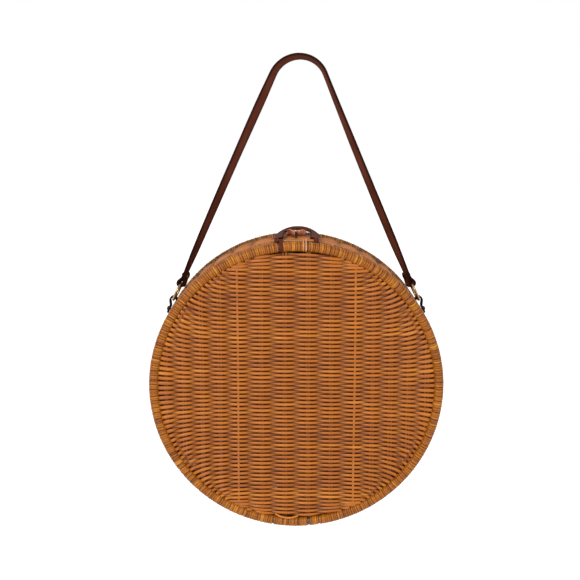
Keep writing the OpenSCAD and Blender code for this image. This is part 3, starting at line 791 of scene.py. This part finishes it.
def side_tab(name, sign, node):
    """Up the wall, over the ring with room to swing, and down again outside."""
    wall = ring_line + WEAVE_HALF + 0.3 * MM
    fold_at = wall + TAB_T + CHANNEL_R
    radius = CHANNEL_R + TAB_T / 2
    drop = (RING_ANGLE - TAB_LOW) * fold_at
    second = -radius + LAYER_APART * TAB_T
    over = fold_round(radius + TAB_ROOM, second, -radius, TAB_KNEE) * [1, -1]
    route = np.concatenate([[(-radius, -drop)], over[::-1], [(second, -TAB_KNEE), (second, -drop)]])
    route = spaced(route, TAB_STEP)
    route = np.concatenate([route[:1], smooth(route, 4)[1:-1], route[-1:]])
    turn = RING_ANGLE + route[:, 1] / fold_at
    out = fold_at + route[:, 0]
    path = CENTRE + np.stack([sign * out * np.cos(turn), np.zeros_like(turn), out * np.sin(turn)], 1)
    side = np.cross(unit(np.gradient(path, axis=0)), Y)
    from_end = route[:, 1] + drop
    widths = np.interp(from_end, [0.5 * drop, 0.93 * drop], [TAB_W, TAB_FOLD_W])
    widths = widths * rounded_end(from_end, TAB_W / 2, 2, 0.02)
    strands = Strands()
    strip_sweep(strands, path, side, smooth(widths, 2), TAB_T, TAB_CREASE)
    strands.piece(name, "bag", leather, "leather", node)


# Closure loop, its lace's ties and the hinge lashings

LOOP_W, LOOP_LEG, LOOP_CROSS, LOOP_T = 52.4 * MM, 10 * MM, 8 * MM, 2.2 * MM
LOOP_CORNER, LOOP_RISE, LOOP_SAG, LOOP_SKEW = 19 * MM, 0.1 * MM, 4.6 * MM, 2.4 * MM
CROSS_STAND = math.radians(17)
LOOP_CREASE, BELT_STEP = 0.12 * MM, 0.9 * MM

# The hem round the lace: its width and inside, where it ends and where the leg has its full width
HEM_W, HEM_IN, HEM_END, HEM_FULL, HEM_SHIFT = 5.3 * MM, 1.3 * MM, 4.2 * MM, 6 * MM, 8 * MM

# What a lashing or tie goes round: the lid's rod inside it, and the lace or the rim's rod beside it.
# A hinge lashing's solid stands OVER_ROD over the lid's rod, and its canes lie closer by IN_SOLID.
LACE_R = 1.1 * MM
LACE_EYE, LACE_EYE_R = (lace[1], lace[2]), LACE_R + 0.6 * MM
OVER_ROD, IN_SOLID = 1.25 * MM, 0.8 * MM
HINGE_EYE = (rim_y, hinge[2])
HINGE_EYE_R = 2 * half_of("hinge_lashing_right")[1] - (rim_y - lid_y) - (rod_r + OVER_ROD) - IN_SOLID
HINGE_SLEEVE, TIE_SLEEVE = rod_r + 0.65 * MM, rod_r + 0.9 * MM


def closure_loop():
    """Out of a hem round the lace, back along one leg, across behind the toggle and forward again."""
    end = high("closure_loop")
    hem_r = HEM_IN + LOOP_T / 2
    flat_length = (end[1] - lace[1]) - LOOP_CROSS / 2
    slope = math.atan2(end[2] - LOOP_T - HEM_IN - lace[2], flat_length + LOOP_CROSS / 2)
    leg_x = (LOOP_W - LOOP_LEG) / 2

    # The right half laid level, with the lace at its origin
    turns = np.linspace(-0.75 * math.pi, 0, 14)
    hem = np.stack([np.full_like(turns, leg_x), hem_r * np.sin(turns), hem_r * np.cos(turns)], 1)
    leg = np.array([(leg_x, y, hem_r) for y in np.linspace(0, flat_length - LOOP_CORNER, 24)[1:]])
    corner = np.array([(leg_x - LOOP_CORNER * (1 - math.cos(a)),
                        flat_length - LOOP_CORNER * (1 - math.sin(a)), hem_r)
                       for a in np.linspace(0, math.pi / 2, 20)[1:]])
    cross = np.array([(x, flat_length, hem_r) for x in np.linspace(leg_x - LOOP_CORNER, 0, 6)[1:]])
    half = np.concatenate([hem, leg, corner, cross])
    half_side = np.concatenate([np.stack([0 * turns, np.sin(turns), np.cos(turns)], 1),
                                np.tile(Z, (len(half) - len(hem), 1))])
    half_w = np.concatenate([np.full(len(hem), HEM_W),
                             np.interp(half[len(hem):, 1], [HEM_END, HEM_FULL], [HEM_W, LOOP_LEG])])
    crossing = np.clip(1 - half[:, 0] / (leg_x - LOOP_CORNER / 3), 0, 1)
    half_w = half_w + (LOOP_CROSS - LOOP_LEG) * crossing
    half_shift = (LOOP_LEG - half_w) / 2 * (half[:, 1] < HEM_SHIFT)

    # Both halves, sagging to the sides and skewed to the right towards the crossing, which stands up
    path = np.concatenate([half, (half * [-1, 1, 1])[-2::-1]])
    side, widths, shift = [np.concatenate([one, one[-2::-1]])
                           for one in (half_side, half_w, half_shift)]
    far = np.clip(path[:, 1] / flat_length, 0, 1)
    path[:, 2] += far * (LOOP_RISE - LOOP_SAG * (path[:, 0] / leg_x) ** 2)
    side = side + np.outer(far * 2 * LOOP_SAG * path[:, 0] / leg_x ** 2, X)
    side = side - np.outer(far ** 3 * math.tan(CROSS_STAND), Y)
    path[:, 0] += far * LOOP_SKEW
    tilt = np.array([[1, 0, 0],
                     [0, math.cos(slope), math.sin(slope)],
                     [0, -math.sin(slope), math.cos(slope)]])
    strands = Strands()
    strip_sweep(strands, path @ tilt + lace, side @ tilt, widths, LOOP_T, LOOP_CREASE, offsets=shift)
    strands.piece("closure_loop_leather", "closure_loop", leather, "leather", "closure_loop")


def belt(x, first, first_r, second, second_r):
    """A closed line in the plane of x round two circles, each at (y, z)."""
    span = np.subtract(second, first)
    heading = math.atan2(span[1], span[0])
    lean = math.acos((first_r - second_r) / np.linalg.norm(span))
    circles = [(first, first_r, np.linspace(heading + lean, heading + TAU - lean, 26)),
               (second, second_r, np.linspace(heading - lean, heading + lean, 20))]
    line = [(at[0] + r * math.cos(a), at[1] + r * math.sin(a))
            for at, r, turns in circles for a in turns]
    line = spaced(line + line[:1], BELT_STEP)[:-1]
    return np.stack([np.full(len(line), x), line[:, 0], line[:, 1]], 1)


def lashing(name, x, top, count, pitch, thick, sleeve_r, eye, eye_r, material, slot, node, seed,
            gap=0.0):
    """Turns side by side, at sleeve_r round the lid's rod and at eye_r round the eye beside it."""
    rng = random.Random(seed)
    strands = Strands()
    for i in range(count):
        place = x + (i - (count - 1) / 2) * pitch
        rod_z = bag_z + (1 if top else -1) * math.sqrt(ring_line ** 2 - place ** 2)
        path = belt(place, (lid_y, rod_z), sleeve_r - rng.uniform(0, 0.15) * MM, eye, eye_r)
        path[:, 0] += rng.uniform(-0.1, 0.1) * MM
        side = np.cross(X, unit(np.roll(path, -1, 0) - np.roll(path, 1, 0)))
        if material is leather:
            section = strip_section(pitch * 0.98, thick)
        else:
            section = round_section(thick, (pitch - gap) * 0.97)
        strands.sweep(path, side, section, rng.uniform(0.3, 0.9), closed=True, shift=anywhere(rng))
    strands.piece(name, "lid", material, slot, node)


# The toggle's core and what its waist takes away, of its radius, the waist's half length, of its
# half length, and the cane on it
CORE_SHARE, WAIST_SHARE, WAIST_HALF = 0.74, 0.35, 0.09
TOGGLE_CANE_T, TOGGLE_CANE_W = 1.3 * MM, (1.1, 1.7)
DRAWN_T, DRAWN_W, DRAWN_REACH = 0.9 * MM, 1.5 * MM, 1.18


def wound_toggle(seed):
    """A short rod with a waist for the cord, wound with cane on both sides of it.

    On each side one end of the cane is drawn across the turns.
    """
    rng = random.Random(seed)
    strands = Strands()
    middle, (half, _, radius) = centre_of("toggle"), half_of("toggle")
    across = np.linspace(-1, 1, 41)
    waist = np.where(np.abs(across) < WAIST_HALF, WAIST_SHARE, 0)
    core = radius * (CORE_SHARE - waist) * np.sqrt(np.clip(1 - np.abs(across) ** 9, 0.1, 1))
    section = np.stack([round_section(2 * r, 2 * r, 12) for r in core])
    # The core takes half painted shade
    strands.sweep(middle + np.outer(across * half, X), np.tile(Z, (len(across), 1)), section, 0.3, 0.5)
    about = np.arange(16) * TAU / 16
    turn = np.linspace(0.25, 2.4, 14)
    reach = radius * DRAWN_REACH
    for sign in (-1, 1):
        place = 0.1 * half
        while place < 0.9 * half:
            wide = rng.uniform(*TOGGLE_CANE_W) * MM
            lean = rng.uniform(-0.35, 0.35)
            around = np.stack([lean * np.sin(about) * wide, radius * np.cos(about),
                               radius * np.sin(about)], 1)
            ring = middle + [sign * (place + wide / 2), 0, 0] + around
            section = round_section(TOGGLE_CANE_T, wide, TURN_SIDES)
            # The turns take a little painted shade
            strands.sweep(ring, unit(around * [0, 1, 1]), section, rng.betavariate(1, 1), 0.1,
                          closed=True, shift=anywhere(rng))
            place += wide * 1.02
        drawn = np.stack([sign * half * np.linspace(0.2, 0.86, len(turn)),
                          -reach * np.cos(turn), reach * np.sin(turn)], 1)
        section = round_section(DRAWN_T, DRAWN_W, TURN_SIDES)
        strands.sweep(middle + drawn, unit(drawn * [0, 1, 1]), section, 0.95)
    strands.piece("toggle_canes", "bag", reddish, "pale_cane", "toggle")


# Camera, fitted to the two hoops in the photograph, with its height over the bag's centre

SENSOR_W, LENS = 36, 62.07
CAMERA_X, CAMERA_Y, CAMERA_UP = -7.6 * MM, -1222 * MM, 346 * MM
CAMERA_TILT = math.radians(79.19)


def make_camera():
    data = bpy.data.cameras.new("camera")
    data.sensor_width = SENSOR_W
    data.lens = LENS
    camera = bpy.data.objects.new("camera", data)
    camera.location = (CAMERA_X, CAMERA_Y, bag_z + CAMERA_UP)
    camera.rotation_euler = (CAMERA_TILT, 0, 0)
    bpy.context.scene.collection.objects.link(camera)
    bpy.context.scene.camera = camera


# Light and room

WHITE = (1, 1, 1, 1)
SOFT_LIGHT, BACKGROUND = 0.62, 1.0
FLOOR_HALF, FLOOR_DROP, FLOOR_GLOW = 12, 0.75, 0.6


def area_lamp(name, place, size, power):
    """A square lamp that points at the bag's centre."""
    data = bpy.data.lights.new(name, "AREA")
    data.size = size
    data.energy = power
    lamp = bpy.data.objects.new(name, data)
    lamp.location = place
    lamp.rotation_euler = Vector(CENTRE - np.array(place)).to_track_quat("-Z", "Y").to_euler()
    bpy.context.scene.collection.objects.link(lamp)


def make_room():
    """Soft light from all round, and a white background for the camera and for what reflects it."""
    world = bpy.data.worlds.new("studio")
    bpy.context.scene.world = world
    world.use_nodes = True
    nodes, links = world.node_tree.nodes, world.node_tree.links
    light, seen = nodes["Background"], nodes.new("ShaderNodeBackground")
    for background, strength in ((light, SOFT_LIGHT), (seen, BACKGROUND)):
        background.inputs["Color"].default_value = WHITE
        background.inputs["Strength"].default_value = strength
    path = nodes.new("ShaderNodeLightPath")
    either = path.outputs["Is Camera Ray"]
    for kind in ("Is Glossy Ray", "Is Transmission Ray"):
        more = nodes.new("ShaderNodeMath")
        more.operation = "MAXIMUM"
        links.new(either, more.inputs[0])
        links.new(path.outputs[kind], more.inputs[1])
        either = more.outputs[0]
    mix = nodes.new("ShaderNodeMixShader")
    links.new(either, mix.inputs[0])
    links.new(light.outputs[0], mix.inputs[1])
    links.new(seen.outputs[0], mix.inputs[2])
    links.new(mix.outputs[0], nodes["World Output"].inputs["Surface"])
    area_lamp("key", (-0.7, -1.5, bag_z + 1.1), size=0.9, power=34)
    area_lamp("fill", (1.3, -1.2, bag_z + 0.3), size=1.2, power=10)


def make_floor():
    """A pale floor well below the hanging bag."""
    mesh = bpy.data.meshes.new("floor")
    level = bag_z - FLOOR_DROP
    corners = [(FLOOR_HALF * x, FLOOR_HALF * y, level)
               for x, y in ((-1, -1), (1, -1), (1, 1), (-1, 1))]
    mesh.from_pydata(corners, [], [(0, 1, 2, 3)])
    paint = Paint("floor")
    paint.finish(srgb((250, 250, 250)), 0.9, Specular_IOR_Level=0.1)
    path = paint.node("ShaderNodeLightPath").outputs
    seen = paint.maths("MAXIMUM", path["Is Camera Ray"], path["Is Glossy Ray"])
    seen = paint.maths("MAXIMUM", seen, path["Is Transmission Ray"])
    paint.put(paint.shader.inputs["Emission Color"], WHITE)
    paint.put(paint.shader.inputs["Emission Strength"], paint.maths("MULTIPLY", seen, FLOOR_GLOW))
    mesh.materials.append(paint.material)
    floor = bpy.data.objects.new("floor", mesh)
    bpy.context.scene.collection.objects.link(floor)


make_camera()
make_room()
make_floor()
woven_panel("lid_weavers", "lid", lid_y, 1, "lid_weave", seed=3)
woven_panel("back_weavers", "bag", back_y, -1, "back_weave", seed=5)
panel_stakes("lid_stake_canes", "lid", lid_y, 1, "lid_stakes", seed=7)
panel_stakes("back_stake_canes", "bag", back_y, -1, "back_stakes", seed=8)
woven_wall("wall_weave", seed=11)
wound_hoop("lid_winding", "lid", lid_y, hinge_bare + tie_bare, wound, "lid_wrap", seed=21)
wound_hoop("rim_winding", "bag", rim_y, hinge_bare, wound, "rim_wrap", seed=22)
# The back winding's darker cane is painted shade
wound_hoop("back_winding", "bag", back_y, [], back_shaded, "back_wrap", seed=23)
wall_stakes("wall_stakes_round", seed=12)
strap()
side_tab("tab_leather_left", -1, "tab_left")
side_tab("tab_leather_right", 1, "tab_right")
closure_loop()
wound_toggle(seed=61)
for side, label in ((-1, "left"), (1, "right")):
    lashing(f"hinge_canes_{label}", side * HINGE_X, top=False, count=HINGE_TURNS,
            pitch=2 * HINGE_HALF / HINGE_TURNS, thick=1.1 * MM, sleeve_r=HINGE_SLEEVE, eye=HINGE_EYE,
            eye_r=HINGE_EYE_R, material=wound, slot="wrap_cane", node=f"hinge_lashing_{label}",
            seed=40 + side)
lashing("lace_tie_leather", TIE_LEFT_X, top=True, count=1, pitch=5 * MM, thick=1.1 * MM,
        sleeve_r=TIE_SLEEVE, eye=LACE_EYE, eye_r=LACE_EYE_R, material=leather, slot="leather",
        node="lace_tie_left", seed=51)
lashing("lace_tie_canes", TIE_RIGHT_X, top=True, count=2, pitch=3 * MM, thick=1.2 * MM,
        sleeve_r=TIE_SLEEVE, eye=LACE_EYE, eye_r=LACE_EYE_R, material=pale, slot="pale_cane",
        node="lace_tie_right", seed=52, gap=1.1 * MM)

# What still shows of the construction gets its finish here
# The rod's dark colour and the rivets' dark brass hold painted shade
CAD_FINISHES = {"rim_hoop": rod, "back_hoop": rod, "lid_hoop": rod, "toggle_cord": cord,
                "loop_lace": waxed, "ring_left": brass, "ring_right": brass}
for node, made in frame["nodes"].items():
    made.data.materials.clear()
    made.data.materials.append(CAD_FINISHES.get(node, dark_brass if "rivet" in node else rod))
bpy.context.scene.view_settings.view_transform = "Standard"
